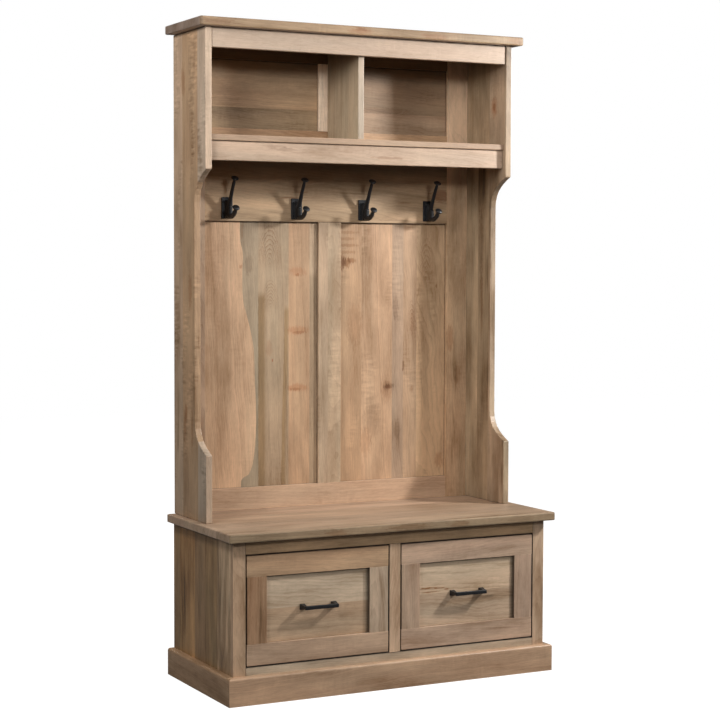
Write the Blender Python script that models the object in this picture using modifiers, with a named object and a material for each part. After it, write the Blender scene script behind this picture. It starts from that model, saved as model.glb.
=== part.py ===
"""Hall tree with coat hooks: a two-drawer bench with a moulded plinth, and a hutch with two cubbies.

The object stands on z = 0, centred on x = 0 and y = 0, with its front facing -Y. Units are metres.
Every board, casting and runner is a piece of its own. The two drawers slide out along -Y.
"""

import math

import bmesh
import bpy
from mathutils import Vector

# Stock and fitting
HAIRLINE = 0.0003  # gap between pieces that touch
BOARD = 0.019  # thickness of the case and hutch boards
EASE = 0.0022  # rounding of the exposed edges
JOINT_EASE = 0.0005  # rounding of edges that meet in a flush joint
TONGUE = 0.008  # how far a panel enters the groove round it
PANEL = 0.006  # thickness of the back panels and drawer bottoms

# Bench
CASE_WIDTH = 1.016
CASE_DEPTH = 0.446
SEAT_TOP = 0.481
SEAT_THICKNESS = 0.0245
SEAT_SIDE_OVERHANG = 0.022
SEAT_FRONT_OVERHANG = 0.0295
PLINTH_HEIGHT = 0.079
PLINTH_THICKNESS = 0.020
PLINTH_ROUND = 0.007  # radius along the plinth's top outer edge
OUTER_STILE = 0.0385  # widths in the bench's face frame
MIDDLE_STILE = 0.037
OPENING_BOTTOM = 0.102
OPENING_TOP = 0.418
BOTTOM_RAIL_HEIGHT = 0.038
CASE_FLOOR_THICKNESS = 0.015

# Drawers
REVEAL = 0.003  # gap round an inset drawer front
FRONT_THICKNESS = 0.021
FRONT_STICK = 0.0605  # width of a drawer front's rails and stiles
FRONT_PANEL = 0.009
FRONT_RECESS = 0.0085
BOX_WALL = 0.012
BOX_INSET = 0.003  # the box stands this far inside the front's ends
BOX_BOTTOM = 0.110
BOX_TOP = 0.394
BOX_DEPTH = 0.385
BOTTOM_RAISE = 0.009  # height of the drawer bottom above the box's lower edge
RUNNER_HEIGHT = 0.018
RUNNER_CENTRE = 0.262
RUNNER_BITE = 0.0055  # how far a runner enters the side's groove
RUNNER_PLAY = 0.001

# Pulls
PULL_CENTRES = 0.098  # between the two posts
PULL_LENGTH = 0.105
PULL_HEIGHT = 0.0108
PULL_BAR_DEPTH = 0.009
PULL_REACH = 0.0316  # from the drawer panel to the bar's front
PULL_FOOT = 0.0168  # width of a post on the panel
PULL_NECK = 0.008  # width of a post at the bar
PULL_DROP = 0.002  # how far a pull's middle is below the drawer front's

# Hutch
HUTCH_WIDTH = 1.012
HUTCH_DEPTH = 0.2485
HUTCH_WAIST_DEPTH = 0.1625  # depth of a side between its two coves
HUTCH_TOP = 1.892
LOWER_COVE_CORNER = 0.676
UPPER_COVE_CORNER = 1.4915
COVE_HEIGHT = 0.091
COVE_CORNER_ANGLE = math.radians(24)  # slope of the cove where it meets the full depth
CROWN_THICKNESS = 0.025
CROWN_SIDE_OVERHANG = 0.026
CROWN_FRONT_OVERHANG = 0.0265
CROWN_RAIL_SETBACK = 0.004
CROWN_RAIL_BOTTOM = 1.8356
SHELF_TOP = 1.5918
SHELF_THICKNESS = 0.0175
SHELF_SETBACK = 0.011
APRON_SETBACK = 0.018
APRON_BOTTOM = 1.5184
DIVIDER = 0.019
DIVIDER_SETBACK = 0.024

# Hutch back
BACK_FRAME = 0.0165
BACK_RECESS = 0.009
BACK_STILE = 0.0735
BACK_MULLION = 0.0762
BACK_BOTTOM_RAIL_TOP = 0.5484
HOOK_RAIL_BOTTOM = 1.3505
HOOK_RAIL_TOP = 1.6275
BACK_TOP_RAIL_BOTTOM = 1.832

# Coat hooks
HOOK_SPACING = 0.229
HOOK_PLATE = Vector((0.036, 0.0045, 0.0635))
HOOK_PLATE_MIDDLE = 1.3898

# Places worked out from the dimensions above
BACK_Y = (CASE_DEPTH + SEAT_FRONT_OVERHANG) / 2
CASE_FRONT_Y = BACK_Y - CASE_DEPTH
HALF_CASE = CASE_WIDTH / 2
HALF_HUTCH = HUTCH_WIDTH / 2
SEAT_BOTTOM = SEAT_TOP - SEAT_THICKNESS
FRAME_BACK_Y = CASE_FRONT_Y + BOARD
INSIDE_HUTCH = HALF_HUTCH - BOARD
BACK_FRAME_Y = BACK_Y - BACK_FRAME

# Colours, linear RGB
MID = (0.43, 0.29, 0.185)
LIGHT = (0.52, 0.37, 0.25)
ROSE = (0.50, 0.31, 0.19)
GREY = (0.38, 0.29, 0.20)
DEEP = (0.32, 0.205, 0.125)
PALE = (0.62, 0.49, 0.34)
BLACK = (0.018, 0.018, 0.020)


def clear_scene():
    for old in list(bpy.data.objects):
        bpy.data.objects.remove(old)


def collection(name):
    made = bpy.data.collections.new(name)
    bpy.context.scene.collection.children.link(made)
    return made


def finish(piece, colour, roughness, metallic):
    """Gives a piece a material of its own."""
    material = bpy.data.materials.new(piece.name)
    material.use_nodes = True
    shader = material.node_tree.nodes["Principled BSDF"]
    shader.inputs["Base Color"].default_value = (*colour, 1.0)
    shader.inputs["Roughness"].default_value = roughness
    shader.inputs["Metallic"].default_value = metallic
    material.diffuse_color = (*colour, 1.0)
    piece.material_slots[0].link = "OBJECT"
    piece.material_slots[0].material = material


def add_object(name, data, centre, parent=None, group=None):
    """Links a new object at a place given in the whole object's own frame."""
    piece = bpy.data.objects.new(name, data)
    (group or PARTS).objects.link(piece)
    piece.location = centre
    if parent:
        piece.parent = parent
        piece.location = Vector(centre) - parent.location
    return piece


def block_mesh(name, size):
    """A plain block with one empty material slot."""
    mesh = bpy.data.meshes.new(name)
    shape = bmesh.new()
    bmesh.ops.create_cube(shape, size=1.0)
    bmesh.ops.scale(shape, vec=size, verts=shape.verts)
    shape.to_mesh(mesh)
    shape.free()
    mesh.materials.append(None)
    return mesh


def middle_and_size(spans):
    """Centre and size of a block from its (low, high) span along x, y and z."""
    middle = Vector([(low + high) / 2 for low, high in spans])
    size = Vector([high - low for low, high in spans])
    return middle, size


def round_edges(piece, width, segments=2):
    bevel = piece.modifiers.new("rounding", "BEVEL")
    bevel.width = width
    bevel.segments = segments
    bevel.limit_method = "ANGLE"
    bevel.angle_limit = math.radians(40)


def board(name, x, y, z, colour, ease=EASE, parent=None, roughness=0.45):
    """A squared board between the given spans, with eased edges."""
    middle, size = middle_and_size((x, y, z))
    piece = add_object(name, block_mesh(name, size), middle, parent)
    finish(piece, colour, roughness, 0.0)
    if ease:
        round_edges(piece, ease)
    return piece


def cut_away(pieces, x, y, z, parent=None):
    """Takes one block-shaped hollow out of each of the pieces."""
    middle, size = middle_and_size((x, y, z))
    name = "cutter_" + pieces[0].name
    cutter = add_object(name, block_mesh(name, size), middle, parent, CUTTERS)
    cutter.hide_render = True
    cutter.display_type = "WIRE"
    for piece in pieces:
        cut = piece.modifiers.new("hollow", "BOOLEAN")
        cut.operation = "DIFFERENCE"
        cut.solver = "EXACT"
        cut.object = cutter


def housed_panel(name, x, y, z, colour, around, ease=None, parent=None, roughness=0.45):
    """A panel whose edges sit in a groove that runs round it through the sticks of its frame."""
    panel = board(name, x, y, z, colour, ease, parent, roughness)
    spans = [(low - HAIRLINE, high + HAIRLINE) for low, high in (x, y, z)]
    cut_away(around, *spans, parent)
    return panel


def evaluated_mesh(piece, name):
    """The piece's mesh where it stands, with its modifiers applied and its loose seams welded."""
    bpy.context.view_layer.update()
    graph = bpy.context.evaluated_depsgraph_get()
    mesh = bpy.data.meshes.new_from_object(piece.evaluated_get(graph))
    mesh.name = name
    mesh.transform(piece.matrix_world)
    shape = bmesh.new()
    shape.from_mesh(mesh)
    bmesh.ops.remove_doubles(shape, verts=shape.verts, dist=0.00001)
    bmesh.ops.recalc_face_normals(shape, faces=shape.faces)
    shape.to_mesh(mesh)
    shape.free()
    return mesh


def casting(name, solids):
    """One mesh made by uniting the solids, which are then removed."""
    body = solids[0]
    for other in solids[1:]:
        union = body.modifiers.new("union", "BOOLEAN")
        union.operation = "UNION"
        union.solver = "EXACT"
        union.object = other
    mesh = evaluated_mesh(body, name)
    for solid in solids:
        bpy.data.objects.remove(solid)
    mesh.materials.clear()
    mesh.materials.append(None)
    mesh.shade_smooth()
    mesh.set_sharp_from_angle(angle=math.radians(35))
    return mesh


def loose_block(name, middle, size, ease):
    piece = add_object(name, block_mesh(name, size), middle)
    round_edges(piece, ease)
    return piece


def arm(name, points, radii):
    """A smooth bar through the points, with a radius at each, as a mesh with closed ends."""
    curve = bpy.data.curves.new(name, "CURVE")
    curve.dimensions = "3D"
    curve.resolution_u = 3
    curve.bevel_depth = 1.0
    curve.bevel_resolution = 2
    curve.use_fill_caps = True
    spline = curve.splines.new("BEZIER")
    spline.bezier_points.add(len(points) - 1)
    for knot, point, radius in zip(spline.bezier_points, points, radii):
        knot.co = point
        knot.radius = radius
        knot.handle_left_type = "AUTO"
        knot.handle_right_type = "AUTO"
    guide = add_object(name + "_line", curve, (0.0, 0.0, 0.0))
    mesh = evaluated_mesh(guide, name)
    bpy.data.objects.remove(guide)
    return add_object(name, mesh, (0.0, 0.0, 0.0))


def button(name, centre, radius, half_height, lean):
    """A lens-shaped knob end, leaning forward from upright by the angle."""
    mesh = bpy.data.meshes.new(name)
    shape = bmesh.new()
    bmesh.ops.create_uvsphere(shape, u_segments=14, v_segments=8, radius=1.0)
    bmesh.ops.scale(shape, vec=(radius, radius, half_height), verts=shape.verts)
    shape.to_mesh(mesh)
    shape.free()
    piece = add_object(name, mesh, centre)
    piece.rotation_euler.x = lean
    return piece


def hook_mesh():
    """A double coat hook. Its origin is the middle of the plate's back; it reaches out along -Y."""
    plate_front = -HOOK_PLATE.y
    plate = loose_block("plate", (0, plate_front / 2, 0), HOOK_PLATE, 0.0014)
    spine_size = Vector((0.015, 0.013, 0.052))
    spine = loose_block("spine", (0, plate_front - 0.004, -0.004), spine_size, 0.003)
    web = loose_block("web", (0, -0.018, -0.010), Vector((0.011, 0.026, 0.024)), 0.003)
    upper_points = ((0, -0.010, -0.022), (0, -0.0215, 0.010), (0, -0.0395, 0.046), (0, -0.0605, 0.083))
    upper = arm("upper_arm", upper_points, (0.0065, 0.0058, 0.0042, 0.0038))
    lower_points = ((0, -0.010, -0.020), (0, -0.036, -0.0265), (0, -0.058, -0.0165), (0, -0.0685, -0.003))
    lower = arm("lower_arm", lower_points, (0.0068, 0.0063, 0.0056, 0.0050))
    upper_button = button("upper_button", (0, -0.0620, 0.0860), 0.0118, 0.0052, math.radians(33))
    lower_button = button("lower_button", (0, -0.0710, -0.0010), 0.0114, 0.0052, math.radians(45))
    return casting("coat_hook", [plate, spine, web, upper, lower, upper_button, lower_button])


def pull_mesh():
    """A bar pull on two flared posts. Its origin is on the drawer panel, midway between the posts."""
    bar_middle = (0, PULL_BAR_DEPTH / 2 - PULL_REACH, 0)
    bar_size = Vector((PULL_LENGTH, PULL_BAR_DEPTH, PULL_HEIGHT))
    solids = [loose_block("bar", bar_middle, bar_size, 0.0016)]
    post_length = PULL_REACH - PULL_BAR_DEPTH / 2
    for side in (-1, 1):
        mesh = bpy.data.meshes.new("post")
        shape = bmesh.new()
        bmesh.ops.create_cone(
            shape,
            cap_ends=True,
            segments=4,
            radius1=PULL_FOOT / math.sqrt(2),
            radius2=PULL_NECK / math.sqrt(2),
            depth=post_length,
        )
        shape.to_mesh(mesh)
        shape.free()
        post = add_object("post", mesh, (side * PULL_CENTRES / 2, -post_length / 2, 0))
        post.rotation_euler = (math.radians(90), math.radians(45), 0)
        round_edges(post, 0.001)
        solids.append(post)
    return casting("bar_pull", solids)


def cast_piece(name, mesh, place, parent=None):
    piece = add_object(name, mesh, place, parent)
    finish(piece, BLACK, 0.42, 0.9)
    return piece


def plinth_board(name, length, mitred_ends, place, turn, colour):
    """A plinth board lying along its own X with its outer face at -Y and a rounded top outer edge.

    Each mitred end is cut at 45 degrees, so that the outer face is the longer one.
    """
    mesh = block_mesh(name, (length, PLINTH_THICKNESS, PLINTH_HEIGHT))
    shape = bmesh.new()
    shape.from_mesh(mesh)
    outer_y = -PLINTH_THICKNESS / 2
    top_outer = [e for e in shape.edges if all(v.co.y < 0 and v.co.z > 0 for v in e.verts)]
    bmesh.ops.bevel(shape, geom=top_outer, offset=PLINTH_ROUND, segments=4, profile=0.5, affect="EDGES")
    for vertex in shape.verts:
        end = math.copysign(1, vertex.co.x)
        if end in mitred_ends:
            vertex.co.x -= end * (vertex.co.y - outer_y)
    shape.to_mesh(mesh)
    shape.free()
    piece = add_object(name, mesh, place)
    piece.rotation_euler.z = turn
    finish(piece, colour, 0.45, 0.0)
    return piece


def build_plinth():
    outer_x = HALF_CASE + HAIRLINE + PLINTH_THICKNESS
    outer_y = CASE_FRONT_Y - HAIRLINE - PLINTH_THICKNESS
    middle_z = PLINTH_HEIGHT / 2
    front_place = (0, outer_y + PLINTH_THICKNESS / 2, middle_z)
    front_length = 2 * (outer_x - HAIRLINE)
    plinth_board("plinth_front", front_length, (-1, 1), front_place, 0, LIGHT)
    side_length = BACK_Y - outer_y - HAIRLINE
    side_y = BACK_Y - side_length / 2
    side_x = outer_x - PLINTH_THICKNESS / 2
    quarter = math.radians(90)
    plinth_board("plinth_left", side_length, (1,), (-side_x, side_y, middle_z), -quarter, MID)
    plinth_board("plinth_right", side_length, (-1,), (side_x, side_y, middle_z), quarter, MID)


def build_case():
    """The bench without its plinth: sides, floor, back, partition, face frame and seat."""
    inside = HALF_CASE - BOARD
    top = SEAT_BOTTOM - HAIRLINE
    behind_frame = FRAME_BACK_Y + HAIRLINE
    side_y = (behind_frame, BACK_Y)
    board("base_side_left", (-HALF_CASE, -inside), side_y, (0, top), DEEP, JOINT_EASE)
    board("base_side_right", (inside, HALF_CASE), side_y, (0, top), DEEP, JOINT_EASE)
    floor_z = (OPENING_BOTTOM - 0.002 - CASE_FLOOR_THICKNESS, OPENING_BOTTOM - 0.002)
    inner_x = (-inside + HAIRLINE, inside - HAIRLINE)
    back_front_y = BACK_Y - PANEL
    inner_y = (behind_frame, back_front_y - HAIRLINE)
    board("base_floor", inner_x, inner_y, floor_z, PALE, None)
    back_z = (PLINTH_HEIGHT, top)
    board("base_back", inner_x, (back_front_y, BACK_Y), back_z, PALE, None)
    partition_z = (floor_z[1] + HAIRLINE, top)
    board("base_partition", (-BOARD / 2, BOARD / 2), inner_y, partition_z, PALE, None)

    frame_y = (CASE_FRONT_Y, FRAME_BACK_Y)
    outer_x = HALF_CASE - OUTER_STILE
    board("face_stile_left", (-HALF_CASE, -outer_x), frame_y, (0, top), MID, JOINT_EASE)
    board("face_stile_right", (outer_x, HALF_CASE), frame_y, (0, top), MID, JOINT_EASE)
    rail_x = (-outer_x + HAIRLINE, outer_x - HAIRLINE)
    board("face_rail_top", rail_x, frame_y, (OPENING_TOP, top), MID, JOINT_EASE)
    bottom_z = (OPENING_BOTTOM - BOTTOM_RAIL_HEIGHT, OPENING_BOTTOM)
    board("face_rail_bottom", rail_x, frame_y, bottom_z, MID, JOINT_EASE)
    middle_x = (-MIDDLE_STILE / 2, MIDDLE_STILE / 2)
    middle_z = (OPENING_BOTTOM + HAIRLINE, OPENING_TOP - HAIRLINE)
    board("face_stile_middle", middle_x, frame_y, middle_z, MID, JOINT_EASE)

    half_seat = HALF_CASE + SEAT_SIDE_OVERHANG
    seat_y = (CASE_FRONT_Y - SEAT_FRONT_OVERHANG, BACK_Y)
    board("seat_top", (-half_seat, half_seat), seat_y, (SEAT_BOTTOM, SEAT_TOP), MID, 0.0035)


def build_drawer(side, name, frame_colour, panel_colour):
    """One drawer on its own empty, which stands at the middle of the drawer front's face."""
    near = MIDDLE_STILE / 2
    far = HALF_CASE - OUTER_STILE
    opening = sorted((side * near, side * far))
    left = opening[0] + REVEAL
    right = opening[1] - REVEAL
    low = OPENING_BOTTOM + REVEAL
    high = OPENING_TOP - REVEAL
    front_y = (CASE_FRONT_Y, CASE_FRONT_Y + FRONT_THICKNESS)
    centre_x = (left + right) / 2
    axis = bpy.data.objects.new(name + "_axis", None)
    PARTS.objects.link(axis)
    axis.location = (centre_x, CASE_FRONT_Y, (low + high) / 2)

    rail_x = (left, right)
    bottom_rail = board(
        name + "_rail_bottom", rail_x, front_y, (low, low + FRONT_STICK), frame_colour, JOINT_EASE, axis
    )
    top_rail = board(
        name + "_rail_top", rail_x, front_y, (high - FRONT_STICK, high), frame_colour, JOINT_EASE, axis
    )
    stile_z = (low + FRONT_STICK + HAIRLINE, high - FRONT_STICK - HAIRLINE)
    left_x = (left, left + FRONT_STICK)
    right_x = (right - FRONT_STICK, right)
    left_stile = board(name + "_stile_left", left_x, front_y, stile_z, frame_colour, JOINT_EASE, axis)
    right_stile = board(name + "_stile_right", right_x, front_y, stile_z, frame_colour, JOINT_EASE, axis)
    sticks = [bottom_rail, top_rail, left_stile, right_stile]
    panel_y = front_y[0] + FRONT_RECESS
    housed_panel(
        name + "_panel",
        (left_x[1] - TONGUE, right_x[0] + TONGUE),
        (panel_y, panel_y + FRONT_PANEL),
        (stile_z[0] - TONGUE, stile_z[1] + TONGUE),
        panel_colour,
        sticks,
        parent=axis,
    )

    box_left = left + BOX_INSET
    box_right = right - BOX_INSET
    box_y = (front_y[1] + HAIRLINE, front_y[1] + BOX_DEPTH)
    box_z = (BOX_BOTTOM, BOX_TOP)
    left_wall_x = (box_left, box_left + BOX_WALL)
    right_wall_x = (box_right - BOX_WALL, box_right)
    left_wall = board(name + "_box_left", left_wall_x, box_y, box_z, PALE, JOINT_EASE, axis)
    right_wall = board(name + "_box_right", right_wall_x, box_y, box_z, PALE, JOINT_EASE, axis)
    runner_z = (RUNNER_CENTRE - RUNNER_HEIGHT / 2, RUNNER_CENTRE + RUNNER_HEIGHT / 2)
    groove_z = (runner_z[0] - RUNNER_PLAY, runner_z[1] + RUNNER_PLAY)
    groove_depth = RUNNER_BITE + RUNNER_PLAY
    groove_y = (box_y[0] + BOARD, box_y[1] + BOARD)
    cut_away([left_wall], (box_left - BOARD, box_left + groove_depth), groove_y, groove_z, axis)
    cut_away([right_wall], (box_right - groove_depth, box_right + BOARD), groove_y, groove_z, axis)

    bottom_low = BOX_BOTTOM + BOTTOM_RAISE
    inner_x = (left_wall_x[1] + HAIRLINE, right_wall_x[0] - HAIRLINE)
    back_y = (box_y[1] - BOX_WALL, box_y[1])
    back_z = (bottom_low + PANEL + HAIRLINE, BOX_TOP)
    board(name + "_box_back", inner_x, back_y, back_z, PALE, JOINT_EASE, axis)
    tongue = BOX_WALL / 2
    housed_panel(
        name + "_box_bottom",
        (inner_x[0] - tongue, inner_x[1] + tongue),
        (box_y[0] - tongue, box_y[1]),
        (bottom_low, bottom_low + PANEL),
        PALE,
        [left_wall, right_wall, bottom_rail],
        parent=axis,
    )
    pull_place = (centre_x, panel_y - HAIRLINE, axis.location.z - PULL_DROP)
    cast_piece(name + "_pull", PULL, pull_place, axis)

    runner_y = (groove_y[0] + HAIRLINE, BACK_Y - PANEL - HAIRLINE)
    inner_support = BOARD / 2 + HAIRLINE
    outer_support = HALF_CASE - BOARD - HAIRLINE
    inner_reach = near + REVEAL + BOX_INSET + RUNNER_BITE
    outer_reach = far - REVEAL - BOX_INSET - RUNNER_BITE
    for place, spans in (
        ("inner", (inner_support, inner_reach)),
        ("outer", (outer_reach, outer_support)),
    ):
        x = sorted(side * edge for edge in spans)
        board(name + "_runner_" + place, x, runner_y, runner_z, PALE, None)


def hutch_side(name, left_x, colour):
    """A full-height side whose front edge steps back between two coves."""
    curve = bpy.data.curves.new(name, "CURVE")
    curve.dimensions = "2D"
    curve.fill_mode = "BOTH"
    curve.extrude = BOARD / 2
    curve.resolution_u = 7
    front = BACK_Y - HUTCH_DEPTH
    waist = BACK_Y - HUTCH_WAIST_DEPTH
    foot = SEAT_TOP + HAIRLINE
    head = HUTCH_TOP - HAIRLINE
    pull = COVE_HEIGHT * 0.55  # length of the cove's handles
    swing = Vector((math.cos(COVE_CORNER_ANGLE), math.sin(COVE_CORNER_ANGLE))) * pull
    lower_start = Vector((waist, LOWER_COVE_CORNER + COVE_HEIGHT))
    lower_end = Vector((front, LOWER_COVE_CORNER))
    upper_start = Vector((waist, UPPER_COVE_CORNER - COVE_HEIGHT))
    upper_end = Vector((front, UPPER_COVE_CORNER))
    drop = Vector((0, pull))
    # Each knot is its place and the two handles' offsets; without offsets it is a square corner.
    knots = (
        (Vector((BACK_Y, foot)), None, None),
        (Vector((front, foot)), None, None),
        (lower_end, None, swing),
        (lower_start, -drop, None),
        (upper_start, None, drop),
        (upper_end, Vector((swing.x, -swing.y)), None),
        (Vector((front, head)), None, None),
        (Vector((BACK_Y, head)), None, None),
    )
    spline = curve.splines.new("BEZIER")
    spline.bezier_points.add(len(knots) - 1)
    spline.use_cyclic_u = True
    for knot, (place, before, after) in zip(spline.bezier_points, knots):
        knot.co = (*place, 0)
        knot.handle_left_type = "FREE" if before else "VECTOR"
        knot.handle_right_type = "FREE" if after else "VECTOR"
        if before:
            knot.handle_left = (*(place + before), 0)
        if after:
            knot.handle_right = (*(place + after), 0)
    outline = add_object(name + "_outline", curve, (0, 0, 0))
    mesh = evaluated_mesh(outline, name)
    bpy.data.objects.remove(outline)
    mesh.materials.clear()
    mesh.materials.append(None)
    side = add_object(name, mesh, (left_x + BOARD / 2, 0, 0))
    side.rotation_euler = (math.radians(90), 0, math.radians(90))
    finish(side, colour, 0.45, 0.0)
    round_edges(side, EASE)
    return side


def build_hutch():
    """The sides, crown, cubbies and apron that stand on the seat."""
    hutch_side("hutch_side_left", -HALF_HUTCH, DEEP)
    hutch_side("hutch_side_right", INSIDE_HUTCH, MID)
    half_crown = HALF_HUTCH + CROWN_SIDE_OVERHANG
    crown_y = (BACK_Y - HUTCH_DEPTH - CROWN_FRONT_OVERHANG, BACK_Y)
    crown_z = (HUTCH_TOP, HUTCH_TOP + CROWN_THICKNESS)
    board("crown_top", (-half_crown, half_crown), crown_y, crown_z, LIGHT, 0.0035)

    span = (-INSIDE_HUTCH + HAIRLINE, INSIDE_HUTCH - HAIRLINE)
    front = BACK_Y - HUTCH_DEPTH
    rail_front = front + CROWN_RAIL_SETBACK
    under_crown = HUTCH_TOP - HAIRLINE
    rail_z = (CROWN_RAIL_BOTTOM, under_crown)
    board("crown_rail", span, (rail_front, rail_front + BOARD), rail_z, LIGHT)
    shelf_front = front + SHELF_SETBACK
    shelf_y = (shelf_front, BACK_FRAME_Y - HAIRLINE)
    shelf_z = (SHELF_TOP - SHELF_THICKNESS, SHELF_TOP)
    board("cubby_shelf", span, shelf_y, shelf_z, LIGHT)
    apron_front = front + APRON_SETBACK
    apron_z = (APRON_BOTTOM, shelf_z[0] - HAIRLINE)
    board("shelf_apron", span, (apron_front, apron_front + BOARD), apron_z, LIGHT)
    divider_x = (-DIVIDER / 2, DIVIDER / 2)
    divider_z = (SHELF_TOP + HAIRLINE, under_crown)
    divider_y = (front + DIVIDER_SETBACK, shelf_y[1])
    board("cubby_divider", divider_x, divider_y, divider_z, MID)


def build_back():
    """The hutch's framed back: stiles, rails and mullions round four panels."""
    y = (BACK_FRAME_Y, BACK_Y)
    foot = SEAT_TOP + HAIRLINE
    head = HUTCH_TOP - HAIRLINE
    outer = INSIDE_HUTCH - HAIRLINE
    inner = outer - BACK_STILE
    stile_z = (foot, head)
    left_stile = board("back_stile_left", (-outer, -inner), y, stile_z, MID, JOINT_EASE)
    right_stile = board("back_stile_right", (inner, outer), y, stile_z, MID, JOINT_EASE)
    rail_x = (-inner + HAIRLINE, inner - HAIRLINE)
    bottom_z = (foot, BACK_BOTTOM_RAIL_TOP)
    bottom_rail = board("back_rail_bottom", rail_x, y, bottom_z, ROSE, JOINT_EASE)
    hook_z = (HOOK_RAIL_BOTTOM, HOOK_RAIL_TOP)
    hook_rail = board("hook_rail", rail_x, y, hook_z, MID, JOINT_EASE)
    top_rail = board("back_rail_top", rail_x, y, (BACK_TOP_RAIL_BOTTOM, head), MID, JOINT_EASE)
    half_mullion = BACK_MULLION / 2
    mullion_x = (-half_mullion, half_mullion)
    lower_z = (BACK_BOTTOM_RAIL_TOP + HAIRLINE, HOOK_RAIL_BOTTOM - HAIRLINE)
    upper_z = (HOOK_RAIL_TOP + HAIRLINE, BACK_TOP_RAIL_BOTTOM - HAIRLINE)
    lower_mullion = board("back_mullion_lower", mullion_x, y, lower_z, LIGHT, JOINT_EASE)
    upper_mullion = board("back_mullion_upper", mullion_x, y, upper_z, LIGHT, JOINT_EASE)

    panel_y = (BACK_FRAME_Y + BACK_RECESS, BACK_FRAME_Y + BACK_RECESS + PANEL)
    for side, word, stile in ((-1, "left", left_stile), (1, "right", right_stile)):
        x = sorted((side * (half_mullion - TONGUE), side * (inner + TONGUE)))
        for row, z, mullion, rails, colour in (
            ("back_panel", lower_z, lower_mullion, (bottom_rail, hook_rail), ROSE),
            ("cubby_panel", upper_z, upper_mullion, (hook_rail, top_rail), GREY),
        ):
            panel_z = (z[0] - TONGUE, z[1] + TONGUE)
            housed_panel(row + "_" + word, x, panel_y, panel_z, colour, [stile, mullion, *rails])


def build_hooks():
    """Four hooks, evenly spaced along the hook rail."""
    for number in range(4):
        x = (number - 1.5) * HOOK_SPACING
        cast_piece(f"coat_hook_{number + 1}", HOOK, (x, BACK_FRAME_Y - HAIRLINE, HOOK_PLATE_MIDDLE))


clear_scene()
PARTS = collection("hall_tree")
CUTTERS = collection("cutters")
HOOK = hook_mesh()
PULL = pull_mesh()
build_plinth()
build_case()
build_drawer(-1, "drawer_left", MID, GREY)
build_drawer(1, "drawer_right", MID, LIGHT)
build_hutch()
build_back()
build_hooks()
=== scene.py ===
"""Hall tree with coat hooks: looks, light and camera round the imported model."""

import math
import random

import bmesh
import bpy
from mathutils import Matrix, Vector


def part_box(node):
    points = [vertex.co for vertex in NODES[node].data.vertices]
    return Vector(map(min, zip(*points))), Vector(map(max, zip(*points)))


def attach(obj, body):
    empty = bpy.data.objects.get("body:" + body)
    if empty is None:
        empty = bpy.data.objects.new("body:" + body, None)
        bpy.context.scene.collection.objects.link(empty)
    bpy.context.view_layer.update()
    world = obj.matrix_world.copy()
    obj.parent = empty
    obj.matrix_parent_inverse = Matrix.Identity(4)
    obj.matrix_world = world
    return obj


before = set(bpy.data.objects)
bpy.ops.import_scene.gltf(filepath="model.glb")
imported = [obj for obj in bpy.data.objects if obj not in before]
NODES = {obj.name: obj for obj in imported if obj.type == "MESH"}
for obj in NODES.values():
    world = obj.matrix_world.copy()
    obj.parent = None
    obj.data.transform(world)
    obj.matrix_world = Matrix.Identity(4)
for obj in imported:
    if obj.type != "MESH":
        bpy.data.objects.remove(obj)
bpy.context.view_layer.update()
WORDS = ("left", "right")
HOOK_PLATE = 0.0045  # how thick a hook's plate is
# A hook's two buttons: how far out from the plate's back, and how far up from its middle
HOOK_BUTTONS = ((0.0620, 0.0860), (0.0710, -0.0010))
HOOK_BUTTON = 0.0112  # a button's radius
HOOK_SWELL = 0.0012  # how much thicker than the casting's core a hook's arms are, all round
HOOK_SCREWS = (0.0122, 0.0185)  # across and up from the plate's middle
HOOK_SCREW = 0.0031  # a screw head's radius
PULL_SCREW = 0.0045  # the same, for a pull's screws
PULL_CENTRES = 0.098  # between a pull's screws


def camera():
    """The viewpoint: a little to the left of the front, just over half the height."""
    data = bpy.data.cameras.new("camera")
    data.sensor_width = 36.0
    data.lens = 91.05
    data.clip_end = 60.0
    made = bpy.data.objects.new("camera", data)
    bpy.context.scene.collection.objects.link(made)
    turn, pitch, roll = 0.4751, -0.0535, 0.0028
    ahead = Vector(
        (math.sin(turn) * math.cos(pitch), math.cos(turn) * math.cos(pitch), math.sin(pitch))
    )
    level = ahead.cross(Vector((0, 0, 1))).normalized()
    above = level.cross(ahead)
    right = level * math.cos(roll) + above * math.sin(roll)
    up = above * math.cos(roll) - level * math.sin(roll)
    made.matrix_world = Matrix((right, up, -ahead)).transposed().to_4x4()
    made.location = (-2.4801, -4.8045, 1.2282)
    bpy.context.scene.camera = made


def softbox(name, place, target, size, watts, sheen):
    """A rectangular studio light that faces target."""
    data = bpy.data.lights.new(name, "AREA")
    data.shape = "RECTANGLE"
    data.size, data.size_y = size
    data.energy = watts
    made = bpy.data.objects.new(name, data)
    bpy.context.scene.collection.objects.link(made)
    made.location = place
    aim = Vector(target) - Vector(place)
    made.rotation_euler = aim.to_track_quat("-Z", "Y").to_euler()
    made.visible_camera = False
    made.visible_glossy = sheen


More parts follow.
